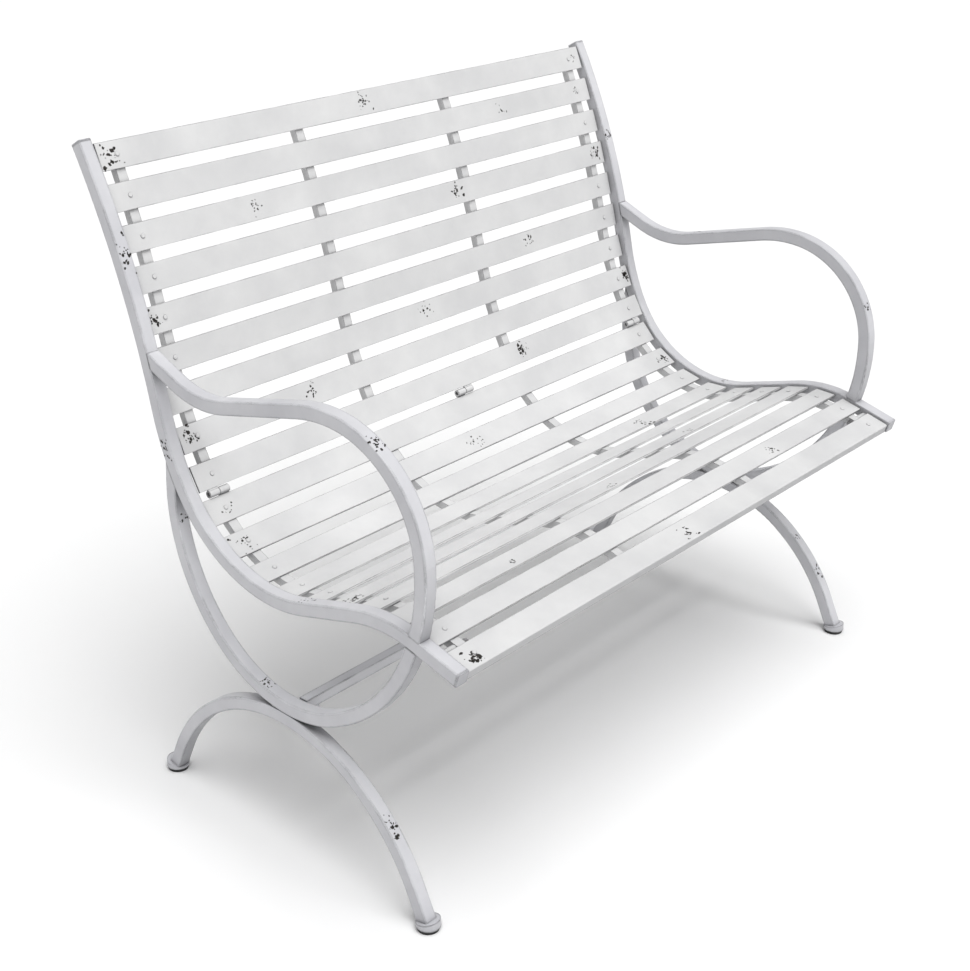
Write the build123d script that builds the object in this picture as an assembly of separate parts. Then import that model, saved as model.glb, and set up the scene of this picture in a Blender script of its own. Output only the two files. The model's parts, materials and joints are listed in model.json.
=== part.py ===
from build123d import *
import os
from math import cos, degrees, radians, sin

os.makedirs("parts", exist_ok=True)

# Garden bench in millimetres. +Z is up, the front faces -Y, X = 0 is the middle plane.

# Square tube of the two side frames
WIDTH = 1060.0
TUBE = 20.0
WALL = 1.5
CORNER = 2.0
INNER = WIDTH / 2 - TUBE
SIDES = (("left", -WIDTH / 2), ("right", INNER))

# Bent tubes lie in the YZ plane. Each is a start (y, z, heading above +Y) and a list of
# moves: ("straight", length) or ("bend", radius, turn), turns in degrees to the left.
RAIL = (
    (-346.0, 414.3, radians(15.4)),
    [
        ("straight", 74.1),
        ("bend", 195.7, -31.8),
        ("straight", 103.6),
        ("bend", 207.3, 77.4),
        ("bend", 370.6, 17.4),
        ("bend", 1213.5, -17.35),
    ],
)
ARM_AND_LOOP = (
    (228.9, 679.9, radians(202.3)),
    [
        ("straight", 63.0),
        ("bend", 161.1, -36.5),
        ("straight", 151.7),
        ("bend", 200.1, 20.6),
        ("bend", 156.4, 80.0),
        ("bend", 303.3, 66.8),
        ("bend", 203.9, 70.3),
        ("bend", 260.3, 51.6),
        ("straight", 62.0),
    ],
)

# The back panel is flatter than the rails beside it. Line through its slats, from below.
BACK_LINE = (
    (155.5, 491.4, radians(57.7)),
    [
        ("bend", 577.4, 17.9),
        ("bend", 1822.5, -9.75),
    ],
)

# Leg arch: half of it from the crown down to the rear foot
ARCH_CROWN_Y = -20.6
HALF_ARCH = [
    ("bend", 254.2, -36.4),
    ("bend", 297.3, -28.5),
    ("straight", 52.0),
]

# Feet
FOOT_RADIUS = 16.5
FOOT_RIM_RADIUS = 17.5
FOOT_HEIGHT = 13.5
FOOT_TILT = 14.0
CUP_FLOOR = 9.0
GLIDE_HEIGHT = 6.0
GLIDE_TOP_RADIUS = 16.3
GLIDE_RADIUS = 15.3

# Slats, measured along the line through their mid thickness
SLAT_WIDTH = 38.5
NARROW_SLAT_WIDTH = 35.0
SLAT_THICKNESS = 3.0
SLAT_LENGTH = 1016.0
SEAT_LEVEL = 3.5
SEAT_SLATS = (19.25, 70.5, 120.0, 173.75, 227.75, 283.25, 340.25, 397.25, 455.75, 513.75)
NARROW_SEAT_SLATS = (70.5, 120.0)
BACK_SLATS = 9
FIRST_BACK_SLAT = 19.25
BACK_PITCH = 56.5
LIP_DEPTH = 14.0
LIP_ROUND = 2.4

# Straps under the slats, measured along the slat lines
STRAP_WIDTH = 15.0
STRAP_DEPTH = 12.0
STRAP_CENTRES = (-478.0, -158.0, 158.0, 478.0)
SEAT_STRAP = (5.0, 531.0)
BACK_STRAP = (2.0, 488.0)

# Rivets through the slat ends
RIVET_RADIUS = 3.4
RIVET_HEIGHT = 1.6

# Folding hinges in the gap between seat and back
HINGE_CENTRES = (-477.0, 29.0, 476.0)
KNUCKLE_LENGTH = 16.8
KNUCKLE_GAP = 0.5
KNUCKLE_RADIUS = 5.4
PIN_RADIUS = 2.4
PIN_LENGTH = 30.0
PIN_CLEARANCE = 0.3

# Bolts that hold the slatted panels to the rails, measured along the slat lines
BOLT_RADIUS = 3.0
BOLT_HOLE_RADIUS = 3.2
BOLT_LEVEL = -7.5
BOLT_TIP = 461.5
BOLT_DEPTH = 516.0
SEAT_BOLTS = (44.0, 455.75)
BACK_BOLTS = (75.75, 471.25)
WASHER_RADIUS = 5.9
WASHER_THICKNESS = 1.6
NUT_RADIUS = 5.77
NUT_THICKNESS = 5.0
SPACER_RADIUS = 5.5

# Stretcher between the two loops
STRETCHER = 15.0
STRETCHER_Y = -43.4
STRETCHER_Z = 238.0
STRETCHER_END = 3.0
GUSSET_LENGTH = 27.0
GUSSET_HEIGHT = 12.0
GUSSET_THICKNESS = 3.0

# End caps and the welds under the loops
TOP_CAP = 2.5
FRONT_CAP = 2.0
WELD_NEAR = 12.0
WELD_FAR = 24.0
WELD_WIDTH = 15.0


def move_length(move):
    if move[0] == "straight":
        return move[1]
    return move[1] * abs(radians(move[2]))


def after(state, move, part=1.0):
    """State (y, z, heading) after some part of a move."""
    y, z, heading = state
    if move[0] == "straight":
        run = move[1] * part
        return (y + run * cos(heading), z + run * sin(heading), heading)
    side = 1 if move[2] > 0 else -1
    centre_y = y - side * move[1] * sin(heading)
    centre_z = z + side * move[1] * cos(heading)
    heading += radians(move[2]) * part
    return (
        centre_y + side * move[1] * sin(heading),
        centre_z - side * move[1] * cos(heading),
        heading,
    )


def state_at(path, distance):
    """State at a distance along a path."""
    state, moves = path
    for move in moves[:-1]:
        if distance <= move_length(move):
            return after(state, move, distance / move_length(move))
        distance -= move_length(move)
        state = after(state, move)
    return after(state, moves[-1], distance / move_length(moves[-1]))


def stretch_of(path, first, last):
    """The stretch of a path between two distances along it."""
    start = state_at(path, first)
    moves = []
    for move in path[1]:
        run = move_length(move)
        part = (min(last, run) - max(first, 0.0)) / run
        if part > 0.001 and move[0] == "straight":
            moves.append(("straight", move[1] * part))
        elif part > 0.001:
            moves.append(("bend", move[1], move[2] * part))
        first -= run
        last -= run
    return (start, moves)


def beside(state, offset):
    """Point (y, z) at an offset to the left of a state."""
    y, z, heading = state
    return (y - offset * sin(heading), z + offset * cos(heading))


def shifted(path, offset):
    """Path that runs beside another at a fixed offset to its left."""
    moves = []
    for move in path[1]:
        if move[0] == "straight":
            moves.append(move)
        else:
            side = 1 if move[2] > 0 else -1
            moves.append(("bend", move[1] - side * offset, move[2]))
    return ((*beside(path[0], offset), path[0][2]), moves)


def band(path, low, high):
    """Flat outline of the strip between two offsets from a path."""
    start, moves = path
    edges = []
    for offset in (low, high):
        here = start
        for move in moves:
            there = after(here, move)
            if move[0] == "straight":
                edges.append(Line(beside(here, offset), beside(there, offset)))
            else:
                middle = beside(after(here, move, 0.5), offset)
                edges.append(ThreePointArc(beside(here, offset), middle, beside(there, offset)))
            here = there
    edges.append(Line(beside(start, low), beside(start, high)))
    edges.append(Line(beside(here, low), beside(here, high)))
    return make_face(edges)


def slab(outline, x_start, thickness):
    """Solid of an outline drawn in the YZ plane, from x_start towards +X."""
    return extrude(Plane.YZ.offset(x_start) * outline, thickness)


def envelope_of(path, x_start):
    """Outside of a bent square tube with its corners rounded."""
    solid = slab(band(path, -TUBE / 2, TUBE / 2), x_start, TUBE)
    faces = (x_start, x_start + TUBE)
    long_edges = [
        edge
        for edge in solid.edges()
        if any(abs(edge.center().X - x) < 0.01 for x in faces) and abs(edge.length - TUBE) > 0.01
    ]
    return fillet(long_edges, CORNER)


def bore_of(path, x_start):
    """Inside of a bent square tube."""
    half = TUBE / 2 - WALL
    return slab(band(path, -half, half), x_start + WALL, TUBE - 2 * WALL)


def across(x, y, z):
    """Frame at a point with its z axis along +X."""
    return Plane(origin=(x, y, z), z_dir=(1, 0, 0))


def rod(x_start, x_end, y, z, radius):
    """Round bar along X."""
    bar = Cylinder(radius, x_end - x_start, align=(Align.CENTER, Align.CENTER, Align.MIN))
    return across(x_start, y, z) * bar


def laid_on(state, x=0.0):
    """Frame with x along +X, y along a path and z to the path's left."""
    y, z, heading = state
    return Plane(origin=(x, y, z), x_dir=(1, 0, 0), z_dir=(0, -sin(heading), cos(heading)))


def facing(state, x, forward):
    """Frame at the end of a tube with its z axis pointing out of the end."""
    y, z, heading = state
    return Plane(
        origin=(x, y, z),
        x_dir=(1, 0, 0),
        z_dir=(0, forward * cos(heading), forward * sin(heading)),
    )


def save(shape, name):
    export_step(shape, f"parts/{name}.step")


def save_group(pieces, name):
    save(Compound(children=[solid for piece in pieces for solid in piece.solids()]), name)


# The two slat rows
seat_line = shifted(RAIL, SEAT_LEVEL)
seat_states = [state_at(seat_line, centre) for centre in SEAT_SLATS]
back_states = [
    state_at(BACK_LINE, FIRST_BACK_SLAT + BACK_PITCH * i)
    for i in range(BACK_SLATS)
]

plain_slat = Box(SLAT_LENGTH, SLAT_WIDTH, SLAT_THICKNESS)
narrow_slat = Box(SLAT_LENGTH, NARROW_SLAT_WIDTH, SLAT_THICKNESS)
lip = Pos(
    0,
    -SLAT_WIDTH / 2 + SLAT_THICKNESS / 2,
    SLAT_THICKNESS / 2 - LIP_DEPTH / 2,
) * Box(SLAT_LENGTH, SLAT_THICKNESS, LIP_DEPTH)
front_slat = plain_slat + lip
front_edge = [
    edge
    for edge in front_slat.edges()
    if abs(edge.center().Y + SLAT_WIDTH / 2) < 0.01
    and abs(edge.center().Z - SLAT_THICKNESS / 2) < 0.01
]
front_slat = fillet(front_edge, LIP_ROUND)

seat_slats = []
for centre, state in zip(SEAT_SLATS, seat_states):
    if centre == SEAT_SLATS[0]:
        slat = front_slat
    elif centre in NARROW_SEAT_SLATS:
        slat = narrow_slat
    else:
        slat = plain_slat
    seat_slats.append(laid_on(state) * slat)
back_slats = [laid_on(state) * plain_slat for state in back_states]
for i, slat in enumerate(seat_slats, 1):
    save(slat, f"seat_slat_{i:02d}")
for i, slat in enumerate(back_slats, 1):
    save(slat, f"back_slat_{i:02d}")

# Bolt axes in the YZ plane
bolt_points = [
    beside(state_at(line, station), BOLT_LEVEL)
    for line, stations in ((seat_line, SEAT_BOLTS), (BACK_LINE, BACK_BOLTS))
    for station in stations
]

# Straps, notched where the flat slats bed on their curve
strap_front = -SLAT_THICKNESS / 2
for leaf, line, span, slats in (
    ("seat", seat_line, SEAT_STRAP, seat_slats),
    ("back", BACK_LINE, BACK_STRAP, back_slats),
):
    outline = band(stretch_of(line, *span), strap_front - STRAP_DEPTH, strap_front)
    for i, centre in enumerate(STRAP_CENTRES, 1):
        strap = slab(outline, centre - STRAP_WIDTH / 2, STRAP_WIDTH)
        for slat in slats:
            strap -= slat
        if abs(centre) > INNER / 2:
            for y, z in bolt_points:
                strap -= rod(centre - STRAP_WIDTH, centre + STRAP_WIDTH, y, z, BOLT_HOLE_RADIUS)
        save(strap, f"{leaf}_strap_{i}")

# Rivets
rivet = Cylinder(RIVET_RADIUS, RIVET_HEIGHT, align=(Align.CENTER, Align.CENTER, Align.MIN))
rivet = fillet(rivet.edges().sort_by(Axis.Z)[-1], RIVET_HEIGHT * 0.9)
rivet = Pos(0, 0, SLAT_THICKNESS / 2) * rivet
for leaf, states in (("seat", seat_states), ("back", back_states)):
    rivets = [
        laid_on(state, centre) * rivet
        for state in states
        for centre in (STRAP_CENTRES[0], STRAP_CENTRES[-1])
    ]
    save_group(rivets, f"{leaf}_rivets")

# Folding hinges
rear_of_seat = after(seat_states[-1], ("straight", SLAT_WIDTH / 2))
front_of_back = after(back_states[0], ("straight", -SLAT_WIDTH / 2))
hinge_y = (rear_of_seat[0] + front_of_back[0]) / 2
hinge_z = (rear_of_seat[1] + front_of_back[1]) / 2
seat_knuckles = []
back_knuckles = []
hinge_pins = []
for i, centre in enumerate(HINGE_CENTRES):
    for side in (-1, 1):
        x_start = centre + (side - 1) / 2 * KNUCKLE_LENGTH + side * KNUCKLE_GAP / 2
        x_end = x_start + KNUCKLE_LENGTH
        on_seat = (side == -1) != (i == 0)
        edge_state = rear_of_seat if on_seat else front_of_back
        reach = KNUCKLE_RADIUS * (1 if on_seat else -1)
        tongue = Pos(0, reach / 2, 0) * Box(KNUCKLE_LENGTH, KNUCKLE_RADIUS, SLAT_THICKNESS)
        knuckle = rod(x_start, x_end, hinge_y, hinge_z, KNUCKLE_RADIUS)
        knuckle += laid_on(edge_state, (x_start + x_end) / 2) * tongue
        knuckle -= rod(x_start - 1, x_end + 1, hinge_y, hinge_z, PIN_RADIUS + PIN_CLEARANCE)
        if on_seat:
            seat_knuckles.append(knuckle)
        else:
            back_knuckles.append(knuckle)
    hinge_pins.append(
        rod(centre - PIN_LENGTH / 2, centre + PIN_LENGTH / 2, hinge_y, hinge_z, PIN_RADIUS)
    )
save_group(seat_knuckles, "hinge_knuckles_seat")
save_group(back_knuckles, "hinge_knuckles_back")
save_group(hinge_pins, "hinge_pins")

# Bolts, washers, nuts and spacers
strap_face = STRAP_CENTRES[-1] - STRAP_WIDTH / 2
strap_outside = STRAP_CENTRES[-1] + STRAP_WIDTH / 2
hexagon = extrude(RegularPolygon(NUT_RADIUS, 6), NUT_THICKNESS)
bolts = []
washers = []
nuts = []
spacers = []
for y, z in bolt_points:
    washer_face = strap_face - WASHER_THICKNESS
    bolt = rod(BOLT_TIP, BOLT_DEPTH, y, z, BOLT_RADIUS)
    hole = rod(BOLT_TIP, BOLT_DEPTH, y, z, BOLT_HOLE_RADIUS)
    washer = rod(washer_face, strap_face, y, z, WASHER_RADIUS) - hole
    nut = across(washer_face - NUT_THICKNESS, y, z) * hexagon - bolt
    spacer = rod(strap_outside, INNER, y, z, SPACER_RADIUS) - hole
    for group, piece in ((bolts, bolt), (washers, washer), (nuts, nut), (spacers, spacer)):
        group.append(piece)
        group.append(mirror(piece, Plane.YZ))
save_group(bolts, "panel_bolts")
save_group(washers, "panel_washers")
save_group(nuts, "panel_nuts")
save_group(spacers, "panel_spacers")

# Side frames
loop_end_of_bends = ARM_AND_LOOP[1][:6]
loop_bottom = ARM_AND_LOOP[0]
for move in loop_end_of_bends:
    loop_bottom = after(loop_bottom, move)
rise = ("bend", ARM_AND_LOOP[1][6][1], 360.0 - degrees(loop_bottom[2]))
loop_bottom = after(loop_bottom, rise)
crown_z = loop_bottom[1] - TUBE

rear_foot = (ARCH_CROWN_Y, crown_z, 0.0)
for move in HALF_ARCH:
    rear_foot = after(rear_foot, move)
front_foot = (2 * ARCH_CROWN_Y - rear_foot[0], rear_foot[1], -rear_foot[2])
crown_bend = ("bend", HALF_ARCH[0][1], 2 * HALF_ARCH[0][2])
ARCH = (front_foot, [*HALF_ARCH[:0:-1], crown_bend, *HALF_ARCH[1:]])

top_cap = fillet(
    extrude(RectangleRounded(TUBE, TUBE, CORNER), TOP_CAP).faces().sort_by(Axis.Z)[-1].edges(),
    TOP_CAP * 0.6,
)
front_cap = fillet(
    extrude(RectangleRounded(TUBE, TUBE, CORNER), FRONT_CAP).faces().sort_by(Axis.Z)[-1].edges(),
    FRONT_CAP * 0.4,
)
rail_length = sum(move_length(move) for move in RAIL[1])

top_caps = []
front_caps = []
for side, x_start in SIDES:
    middle = x_start + TUBE / 2
    rail_envelope = envelope_of(RAIL, x_start)
    rail = rail_envelope - bore_of(RAIL, x_start)
    for y, z in bolt_points:
        rail -= rod(INNER - 1, INNER + WALL + 1, y, z, BOLT_HOLE_RADIUS)
        rail -= rod(-INNER - WALL - 1, -INNER + 1, y, z, BOLT_HOLE_RADIUS)
    save(rail, f"rail_{side}")
    top_caps.append(facing(state_at(RAIL, rail_length), middle, 1) * top_cap)
    front_caps.append(facing(RAIL[0], middle, -1) * front_cap)

    bent_envelope = envelope_of(ARM_AND_LOOP, x_start)
    bent = bent_envelope - bore_of(ARM_AND_LOOP, x_start) - rail_envelope
    bent_pieces = sorted(bent.solids(), key=lambda solid: solid.volume)[-2:]
    loop, arm = sorted(bent_pieces, key=lambda solid: solid.center().Z)
    save(arm, f"arm_{side}")
    save(loop, f"loop_{side}")

    arch_envelope = envelope_of(ARCH, x_start)
    arch_envelope = split(arch_envelope, Plane.XY.offset(CUP_FLOOR), keep=Keep.TOP)
    save(arch_envelope - bore_of(ARCH, x_start), f"leg_arch_{side}")

    welds = []
    for direction in (-1, 1):
        weld = Pos(
            middle,
            ARCH_CROWN_Y + direction * (WELD_NEAR + WELD_FAR) / 2,
            crown_z + TUBE / 2,
        ) * Box(WELD_WIDTH, WELD_FAR - WELD_NEAR, TUBE / 2)
        welds.append(weld - arch_envelope - bent_envelope)
    save_group(welds, f"crown_welds_{side}")

    for place, foot, toe in (("front", front_foot, -1), ("rear", rear_foot, 1)):
        foot_y = foot[0]
        cup = Pos(middle, foot_y, GLIDE_HEIGHT) * Cone(
            FOOT_RIM_RADIUS,
            FOOT_RADIUS,
            FOOT_HEIGHT,
            align=(Align.CENTER, Align.CENTER, Align.MIN),
        )
        tilt = radians(FOOT_TILT)
        rim = Plane(
            origin=(middle, foot_y, FOOT_HEIGHT),
            x_dir=(1, 0, 0),
            z_dir=(0, -toe * sin(tilt), cos(tilt)),
        )
        cup = split(cup, rim, keep=Keep.BOTTOM) - arch_envelope
        glide = Pos(middle, foot_y, 0) * Cone(
            GLIDE_RADIUS,
            GLIDE_TOP_RADIUS,
            GLIDE_HEIGHT,
            align=(Align.CENTER, Align.CENTER, Align.MIN),
        )
        save(cup, f"foot_cup_{place}_{side}")
        save(glide, f"foot_glide_{place}_{side}")
save_group(top_caps, "rail_top_caps")
save_group(front_caps, "rail_front_caps")

# Stretcher with a gusset under each end
stretcher = Pos(0, STRETCHER_Y, STRETCHER_Z) * (
    Box(2 * INNER, STRETCHER, STRETCHER)
    - Box(2 * (INNER - STRETCHER_END), STRETCHER - 2 * WALL, STRETCHER - 2 * WALL)
)
save(stretcher, "stretcher")
gussets = [
    Pos(
        side * (INNER - GUSSET_LENGTH / 2),
        STRETCHER_Y,
        STRETCHER_Z - STRETCHER / 2 - GUSSET_HEIGHT / 2,
    ) * Box(GUSSET_LENGTH, GUSSET_THICKNESS, GUSSET_HEIGHT)
    for side in (-1, 1)
]
save_group(gussets, "stretcher_gussets")
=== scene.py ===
import json
from math import cos, pi, radians, sin
import random

import bpy
from mathutils import Matrix, Vector


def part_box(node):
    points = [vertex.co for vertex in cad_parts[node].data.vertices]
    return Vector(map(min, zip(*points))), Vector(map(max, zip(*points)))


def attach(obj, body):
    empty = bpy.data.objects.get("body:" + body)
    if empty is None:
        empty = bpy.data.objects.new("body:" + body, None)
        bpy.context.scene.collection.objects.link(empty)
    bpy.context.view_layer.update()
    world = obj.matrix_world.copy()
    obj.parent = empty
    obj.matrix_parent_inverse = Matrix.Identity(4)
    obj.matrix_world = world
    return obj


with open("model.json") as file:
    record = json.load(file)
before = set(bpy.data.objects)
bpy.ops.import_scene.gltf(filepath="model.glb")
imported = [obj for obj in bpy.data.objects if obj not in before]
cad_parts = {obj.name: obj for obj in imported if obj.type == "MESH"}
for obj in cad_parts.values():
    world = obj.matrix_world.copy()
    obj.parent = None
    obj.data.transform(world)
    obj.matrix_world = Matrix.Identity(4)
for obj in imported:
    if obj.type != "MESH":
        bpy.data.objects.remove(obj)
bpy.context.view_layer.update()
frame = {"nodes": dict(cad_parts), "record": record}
nodes = frame["nodes"]
slots = {part["node"]: part["material_slot"] for part in frame["record"]["subparts"]}

# Camera
CAMERA_PLACE = (-1.686, -1.422, 1.4275)
CAMERA_AZIMUTH = radians(47.74)
CAMERA_DROP = radians(24.37)
CAMERA_ROLL = radians(0.17)
LENS = 57.82
SENSOR = 36.0
SHIFT_X = 0.0132
SHIFT_Y = -0.0324
CAMERA_REACH = 100.0

# Floor and light
FLOOR_SIZE = 30.0
FLOOR_COLOUR = (0.93, 0.93, 0.93, 1.0)
FLOOR_ROUGHNESS = 0.9
SKY_AT_HORIZON = 0.78
SKY_ABOVE = 0.27
KEY_DIRECTION = (-0.10, -0.30, 0.88)
KEY_SPREAD = 50.0
KEY_STRENGTH = 2.85

# Soft edges of the slats, straps and feet, in metres
SOFT_EDGE = 0.0009
SOFT_EDGE_SEGMENTS = 3
SOFT_EDGE_ANGLE = radians(35)

# Width of the dark line of paint wear and painted edge shade along sharp edges, in metres
FRAME_EDGE_LINE = 0.0036
PANEL_EDGE_LINE = 0.0018


# Node helpers
def add(tree, kind, **values):
    node = tree.nodes.new(kind)
    for name, value in values.items():
        if name in node.inputs:
            node.inputs[name].default_value = value
        else:
            setattr(node, name, value)
    return node


def grey(value):
    return (value, value, value, 1.0)


def ramp(tree, source, low, high, low_colour, high_colour):
    """Colour that runs from one to another as the source goes from low to high."""
    node = tree.nodes.new("ShaderNodeValToRGB")
    node.color_ramp.elements[0].position = low
    node.color_ramp.elements[1].position = high
    node.color_ramp.elements[0].color = low_colour
    node.color_ramp.elements[1].color = high_colour
    tree.links.new(source, node.inputs["Fac"])
    return node.outputs["Color"]


def noise(tree, place, scale, detail, roughness):
    node = add(tree, "ShaderNodeTexNoise", Scale=scale, Detail=detail, Roughness=roughness)
    tree.links.new(place, node.inputs["Vector"])
    return node.outputs["Fac"]


def bump(tree, height, strength, distance, under=None):
    node = add(tree, "ShaderNodeBump", Strength=strength, Distance=distance)
    tree.links.new(height, node.inputs["Height"])
    if under is not None:
        tree.links.new(under, node.inputs["Normal"])
    return node.outputs["Normal"]


def start_material(name, metallic=0.0):
    material = bpy.data.materials.new(name)
    material.use_nodes = True
    tree = material.node_tree
    shader = tree.nodes["Principled BSDF"]
    shader.inputs["Metallic"].default_value = metallic
    place = tree.nodes.new("ShaderNodeTexCoord").outputs["Object"]
    return material, tree, shader, place


def finish_surface(tree, shader, colour, roughness, normal):
    tree.links.new(colour, shader.inputs["Base Color"])
    tree.links.new(roughness, shader.inputs["Roughness"])
    tree.links.new(normal, shader.inputs["Normal"])


def worn_and_shaded_edge(tree, normal, edge_patch_noise, width):
    """Dark line of paint wear and painted edge shade where the rounded normal leaves the flat
    one.
    """
    rounded = add(tree, "ShaderNodeBevel", samples=4, Radius=width)
    along = add(tree, "ShaderNodeVectorMath", operation="DOT_PRODUCT")
    tree.links.new(rounded.outputs["Normal"], along.inputs[0])
    tree.links.new(normal, along.inputs[1])
    edge = ramp(tree, along.outputs["Value"], 0.86, 0.985, grey(1.0), grey(0.0))
    wear_and_shade_patches = ramp(tree, edge_patch_noise, 0.38, 0.58, grey(0.25), grey(1.0))
    both = add(tree, "ShaderNodeMath", operation="MULTIPLY")
    tree.links.new(edge, both.inputs[0])
    tree.links.new(wear_and_shade_patches, both.inputs[1])
    return both.outputs["Value"]


def painted_corner_shade(tree):
    """Painted shade that darkens the paint where pieces meet."""
    corner = add(tree, "ShaderNodeAmbientOcclusion", samples=4, Distance=0.03)
    return ramp(tree, corner.outputs["AO"], 0.30, 0.80, grey(0.85), grey(0.0))


def painted_underside_shade(tree, normal):
    """Painted shade that grows as faces turn sideways and down."""
    parts = tree.nodes.new("ShaderNodeSeparateXYZ")
    tree.links.new(normal, parts.inputs[0])
    downward = add(tree, "ShaderNodeMath", operation="MULTIPLY_ADD")
    tree.links.new(parts.outputs["Z"], downward.inputs[0])
    downward.inputs[1].default_value = -1.0
    downward.inputs[2].default_value = 0.2
    return ramp(tree, downward.outputs["Value"], 0.0, 0.6, grey(0.0), grey(0.62))


def white_paint(name, low, high, edge_line):
    """Weathered white paint with paint specks, painted shade underneath and in corners, and a
    dark line of wear and painted shade along sharp edges.
    """
    material, tree, shader, place = start_material(name)
    blotches = noise(tree, place, 9.0, 5.0, 0.6)
    film = noise(tree, place, 60.0, 3.0, 0.5)
    peel = noise(tree, place, 420.0, 2.0, 0.5)
    specks = noise(tree, place, 260.0, 6.0, 0.7)
    edge_patch_noise = noise(tree, place, 22.0, 4.0, 0.6)
    normal = tree.nodes.new("ShaderNodeNewGeometry").outputs["Normal"]
    colour = ramp(tree, blotches, 0.35, 0.68, low, high)
    # Mixed over the tone: painted shade on down-turned faces, painted shade in corners, a dark
    # edge line of wear and painted shade, and paint specks.
    for mask, shade_and_speck_colour in (
        (painted_underside_shade(tree, normal), (0.20, 0.20, 0.215, 1.0)),
        (painted_corner_shade(tree), (0.10, 0.10, 0.105, 1.0)),
        (worn_and_shaded_edge(tree, normal, edge_patch_noise, edge_line), (0.06, 0.06, 0.065, 1.0)),
        (ramp(tree, specks, 0.73, 0.76, grey(0.0), grey(1.0)), (0.20, 0.19, 0.18, 1.0)),
    ):
        mix = add(tree, "ShaderNodeMix", data_type="RGBA")
        tree.links.new(mask, mix.inputs["Factor"])
        tree.links.new(colour, mix.inputs[6])
        mix.inputs[7].default_value = shade_and_speck_colour
        colour = mix.outputs[2]
    gloss = ramp(tree, film, 0.3, 0.7, grey(0.34), grey(0.48))
    fine = bump(tree, peel, 0.10, 0.0004)
    finish_surface(tree, shader, colour, gloss, bump(tree, film, 0.12, 0.001, fine))
    return material


def zinc_steel():
    material, tree, shader, place = start_material("zinc_steel", 0.85)
    spangle = noise(tree, place, 180.0, 6.0, 0.65)
    tone = ramp(tree, spangle, 0.3, 0.7, (0.16, 0.15, 0.14, 1.0), (0.40, 0.40, 0.42, 1.0))
    rough = ramp(tree, spangle, 0.3, 0.7, grey(0.35), grey(0.6))
    finish_surface(tree, shader, tone, rough, bump(tree, spangle, 0.2, 0.0003))
    return material


def black_rubber():
    material, tree, shader, place = start_material("black_rubber")
    grain = noise(tree, place, 350.0, 4.0, 0.6)
    dust = noise(tree, place, 45.0, 3.0, 0.5)
    tone = ramp(tree, dust, 0.35, 0.75, grey(0.008), grey(0.035))
    rough = ramp(tree, grain, 0.3, 0.7, grey(0.6), grey(0.8))
    finish_surface(tree, shader, tone, rough, bump(tree, grain, 0.3, 0.0003))
    return material


def bare_steel():
    """Dark rusted steel that shows where the paint has flaked."""
    material, tree, shader, place = start_material("bare_steel", 0.2)
    rust = noise(tree, place, 500.0, 5.0, 0.7)
    tone = ramp(tree, rust, 0.35, 0.7, (0.008, 0.008, 0.008, 1.0), (0.05, 0.042, 0.036, 1.0))
    rough = ramp(tree, rust, 0.3, 0.7, grey(0.55), grey(0.85))
    finish_surface(tree, shader, tone, rough, bump(tree, rust, 0.3, 0.0003))
    return material


materials = {
    "frame_paint": white_paint(
        "frame_paint", (0.58, 0.58, 0.61, 1.0), (0.69, 0.69, 0.715, 1.0), FRAME_EDGE_LINE
    ),
    "panel_paint": white_paint(
        "panel_paint", (0.64, 0.64, 0.645, 1.0), (0.73, 0.73, 0.73, 1.0), PANEL_EDGE_LINE
    ),
    "zinc_steel": zinc_steel(),
    "rubber": black_rubber(),
}
flake_material = bare_steel()

for name, node in nodes.items():
    node.data.materials.clear()
    node.data.materials.append(materials[slots[name]])
    if "slat" in name or "strap" in name or name.startswith("foot"):
        bevel = node.modifiers.new("soft_edges", "BEVEL")
        bevel.width = SOFT_EDGE
        bevel.segments = SOFT_EDGE_SEGMENTS
        bevel.limit_method = "ANGLE"
        bevel.angle_limit = SOFT_EDGE_ANGLE
        bevel.harden_normals = True


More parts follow.
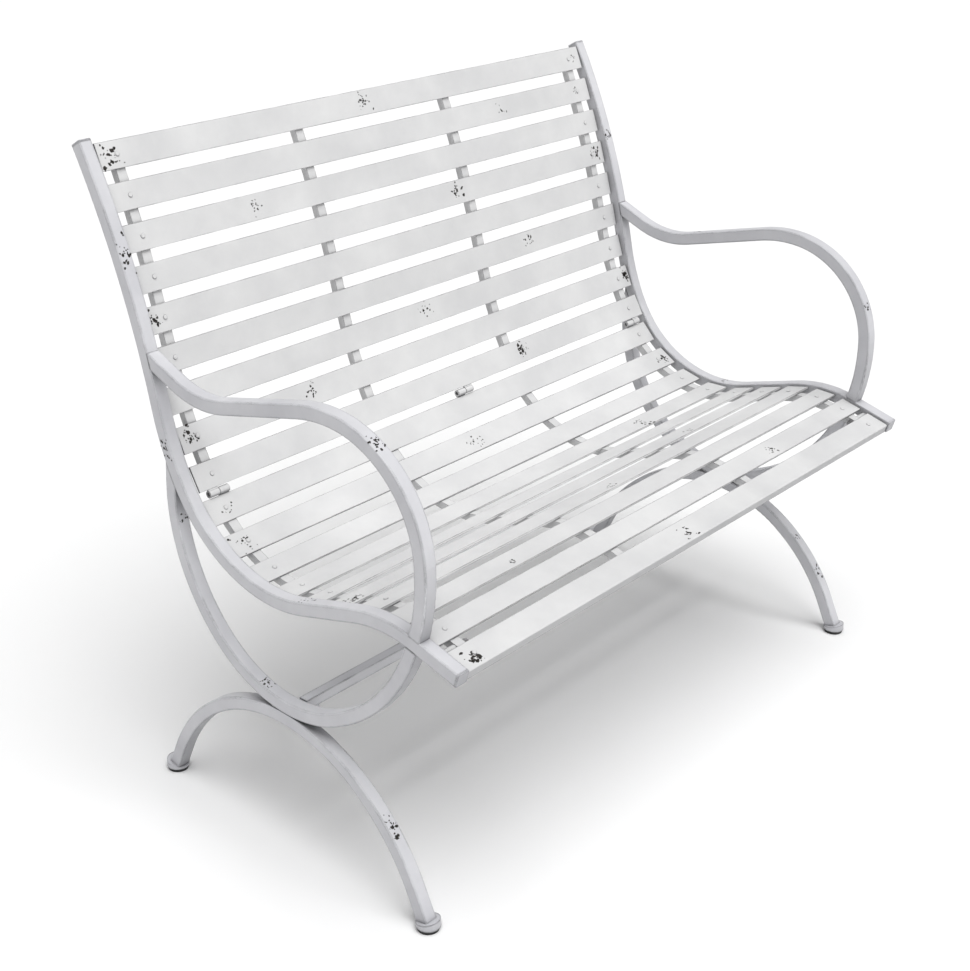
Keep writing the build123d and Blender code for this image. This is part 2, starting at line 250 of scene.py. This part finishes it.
# Paint chips: scattered thin flakes of bare steel, in metres. Each patch has a spread and an
# amount of flaking. On a slat it is placed by x. On a tube it is placed by z on the faces
# seen from the front or outside, and by y on the faces seen from above.
FLAKE_LIFT = 0.00012
FLAKE_DEPTH = 0.00025
FLAKE_CORNERS = 9
FLAKES_PER_PATCH = 26
SMALLEST_FLAKE = 0.0007
COMMON_FLAKE = 0.0016
RARE_FLAKE_EXTRA = 0.0026
FACE_TOLERANCE = 0.0015
SAME_FACE = 0.9
FRONT_OF_SLAT = Vector((0.0, -0.006, 0.004))
PROBE_START = 2.0
PANEL_SEED = 11
FRAME_SEED = 23
PANEL_CHIPS = (
    ("back_slat_09", -0.491, 0.028, 1.1),
    ("back_slat_09", -0.019, 0.022, 0.8),
    ("back_slat_09", 0.492, 0.010, 0.3),
    ("back_slat_08", 0.277, 0.018, 0.35),
    ("back_slat_08", 0.475, 0.010, 0.3),
    ("back_slat_07", -0.279, 0.022, 0.6),
    ("back_slat_06", 0.126, 0.020, 1.0),
    ("back_slat_06", 0.485, 0.020, 1.0),
    ("back_slat_05", -0.496, 0.018, 1.0),
    ("back_slat_04", 0.271, 0.020, 0.6),
    ("back_slat_03", 0.000, 0.022, 0.6),
    ("back_slat_02", -0.258, 0.022, 0.8),
    ("back_slat_02", -0.489, 0.018, 1.1),
    ("back_slat_02", 0.498, 0.016, 1.4),
    ("back_slat_01", 0.185, 0.018, 1.4),
    ("seat_slat_10", -0.475, 0.016, 0.4),
    ("seat_slat_09", -0.486, 0.022, 0.8),
    ("seat_slat_09", -0.012, 0.022, 0.6),
    ("seat_slat_09", 0.494, 0.018, 0.9),
    ("seat_slat_07", 0.282, 0.022, 0.8),
    ("seat_slat_05", -0.489, 0.020, 0.9),
    ("seat_slat_05", 0.252, 0.016, 0.4),
    ("seat_slat_04", -0.023, 0.018, 0.5),
    ("seat_slat_03", -0.299, 0.012, 0.35),
    ("seat_slat_02", 0.259, 0.016, 0.6),
    ("seat_slat_01", -0.484, 0.020, 1.6),
    ("seat_slat_01", -0.035, 0.024, 0.8),
)
FRAME_CHIPS = (
    ("rail_left", "front", 0.812, 0.030, 1.3),
    ("rail_left", "outside", 0.555, 0.020, 0.9),
    ("rail_left", "above", -0.070, 0.024, 0.7),
    ("arm_left", "above", -0.210, 0.026, 1.0),
    ("loop_left", "front", 0.450, 0.012, 0.3),
    ("loop_left", "above", 0.020, 0.022, 0.8),
    ("leg_arch_left", "above", -0.222, 0.028, 1.4),
    ("rail_right", "front", 0.800, 0.014, 0.7),
    ("rail_right", "above", -0.020, 0.012, 0.4),
    ("arm_right", "above", 0.055, 0.012, 0.35),
    ("arm_right", "front", 0.605, 0.014, 0.6),
    ("leg_arch_right", "above", -0.245, 0.018, 0.8),
    ("leg_arch_right", "above", -0.198, 0.010, 0.3),
)


def on_slat(name, x):
    """Point and normal near the middle of a slat's upper or front face at some x."""
    low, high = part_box(name)
    middle = Vector((x, (low[1] + high[1]) / 2, (low[2] + high[2]) / 2))
    return nodes[name].closest_point_on_mesh(middle + FRONT_OF_SLAT)[1:3]


def on_tube(name, seen_from, along):
    """Point and normal on a bent tube's front, outer or upper face."""
    low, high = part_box(name)
    x = (low[0] + high[0]) / 2
    if seen_from == "above":
        start = Vector((x, along, PROBE_START))
        return nodes[name].ray_cast(start, Vector((0.0, 0.0, -1.0)))[1:3]
    start = Vector((x, -PROBE_START, along))
    place, normal = nodes[name].ray_cast(start, Vector((0.0, 1.0, 0.0)))[1:3]
    if seen_from == "front":
        return place, normal
    width = high[0] - low[0]
    outward = -1.0 if x < 0.0 else 1.0
    beside = place + Vector((outward * width, width / 2, 0.0))
    return nodes[name].closest_point_on_mesh(beside)[1:3]


def add_flake(points, faces, place, normal, size, rng):
    """Low irregular plate lying on the surface."""
    turn = Matrix.Rotation(rng.uniform(0.0, 2.0 * pi), 3, normal)
    across = turn @ normal.orthogonal().normalized()
    along = normal.cross(across)
    stretch = rng.uniform(0.45, 1.0)
    first = len(points)
    radii = [size * rng.uniform(0.55, 1.1) for _ in range(FLAKE_CORNERS)]
    for height in (-FLAKE_DEPTH, FLAKE_LIFT):
        for i, radius in enumerate(radii):
            angle = 2.0 * pi * i / FLAKE_CORNERS
            offset = across * radius * cos(angle) + along * radius * sin(angle) * stretch
            points.append(place + offset + normal * height)
    low = list(range(first, first + FLAKE_CORNERS))
    high = [i + FLAKE_CORNERS for i in low]
    faces.append(tuple(reversed(low)))
    faces.append(tuple(high))
    for i in range(FLAKE_CORNERS):
        j = (i + 1) % FLAKE_CORNERS
        faces.append((low[i], low[j], high[j], high[i]))


def add_patch(points, faces, node, middle, normal, spread, amount, rng):
    """Flakes scattered over one face around a point."""
    side = normal.orthogonal().normalized()
    other = normal.cross(side)
    for _ in range(round(FLAKES_PER_PATCH * amount)):
        offset = side * rng.gauss(0.0, spread / 3) + other * rng.gauss(0.0, spread / 3)
        place, here = node.closest_point_on_mesh(middle + offset)[1:3]
        size = rng.uniform(SMALLEST_FLAKE, COMMON_FLAKE)
        size += RARE_FLAKE_EXTRA * amount * rng.random() ** 3
        if (place - middle - offset).length < FACE_TOLERANCE and here.dot(normal) > SAME_FACE:
            add_flake(points, faces, place, here, size, rng)


def chip_piece(name, patches, seed):
    """One piece with every flake of some patches."""
    rng = random.Random(seed)
    points = []
    faces = []
    for node_name, (place, normal), spread, amount in patches:
        add_patch(points, faces, nodes[node_name], place, normal, spread, amount, rng)
    mesh = bpy.data.meshes.new(name)
    mesh.from_pydata(points, [], faces)
    mesh.update()
    mesh.materials.append(flake_material)
    piece = bpy.data.objects.new(name, mesh)
    bpy.context.collection.objects.link(piece)
    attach(piece, "root")


chip_piece(
    "panel_chips",
    [(name, on_slat(name, x), spread, amount) for name, x, spread, amount in PANEL_CHIPS],
    PANEL_SEED,
)
chip_piece(
    "frame_chips",
    [
        (name, on_tube(name, seen_from, along), spread, amount)
        for name, seen_from, along, spread, amount in FRAME_CHIPS
    ],
    FRAME_SEED,
)


# Floor, light and camera
bpy.ops.mesh.primitive_plane_add(size=FLOOR_SIZE)
floor = bpy.context.object
floor.name = "floor"
floor_material, _, floor_shader, _ = start_material("floor")
floor_shader.inputs["Base Color"].default_value = FLOOR_COLOUR
floor_shader.inputs["Roughness"].default_value = FLOOR_ROUGHNESS
floor.data.materials.append(floor_material)

# Pale sky that is brightest near the horizon
bpy.context.scene.view_settings.view_transform = "Standard"
world = bpy.data.worlds.new("studio")
bpy.context.scene.world = world
world.use_nodes = True
world_tree = world.node_tree
sky_place = world_tree.nodes.new("ShaderNodeTexCoord")
sky_height = world_tree.nodes.new("ShaderNodeSeparateXYZ")
world_tree.links.new(sky_place.outputs["Generated"], sky_height.inputs[0])
sky = ramp(world_tree, sky_height.outputs["Z"], 0.02, 0.30, grey(SKY_AT_HORIZON), grey(SKY_ABOVE))
world_tree.links.new(sky, world_tree.nodes["Background"].inputs["Color"])


def soft_sun(name, direction, spread, strength):
    """Very wide sun that stands for a large softbox, shining from a direction."""
    data = bpy.data.lights.new(name, "SUN")
    data.angle = radians(spread)
    data.energy = strength
    lamp = bpy.data.objects.new(name, data)
    bpy.context.collection.objects.link(lamp)
    lamp.rotation_euler = Vector(direction).to_track_quat("Z", "Y").to_euler()


soft_sun("key_light", KEY_DIRECTION, KEY_SPREAD, KEY_STRENGTH)

camera_data = bpy.data.cameras.new("camera")
camera_data.sensor_fit = "HORIZONTAL"
camera_data.sensor_width = SENSOR
camera_data.lens = LENS
camera_data.shift_x = SHIFT_X
camera_data.shift_y = SHIFT_Y
camera_data.clip_end = CAMERA_REACH
camera = bpy.data.objects.new("camera", camera_data)
bpy.context.collection.objects.link(camera)
look = Vector((
    sin(CAMERA_AZIMUTH) * cos(CAMERA_DROP),
    cos(CAMERA_AZIMUTH) * cos(CAMERA_DROP),
    -sin(CAMERA_DROP),
))
right = Vector((cos(CAMERA_AZIMUTH), -sin(CAMERA_AZIMUTH), 0.0))
up = right.cross(look)
rolled_right = cos(CAMERA_ROLL) * right + sin(CAMERA_ROLL) * up
rolled_up = cos(CAMERA_ROLL) * up - sin(CAMERA_ROLL) * right
rotation = Matrix((rolled_right, rolled_up, -look)).transposed().to_4x4()
camera.matrix_world = Matrix.Translation(CAMERA_PLACE) @ rotation
bpy.context.scene.camera = camera
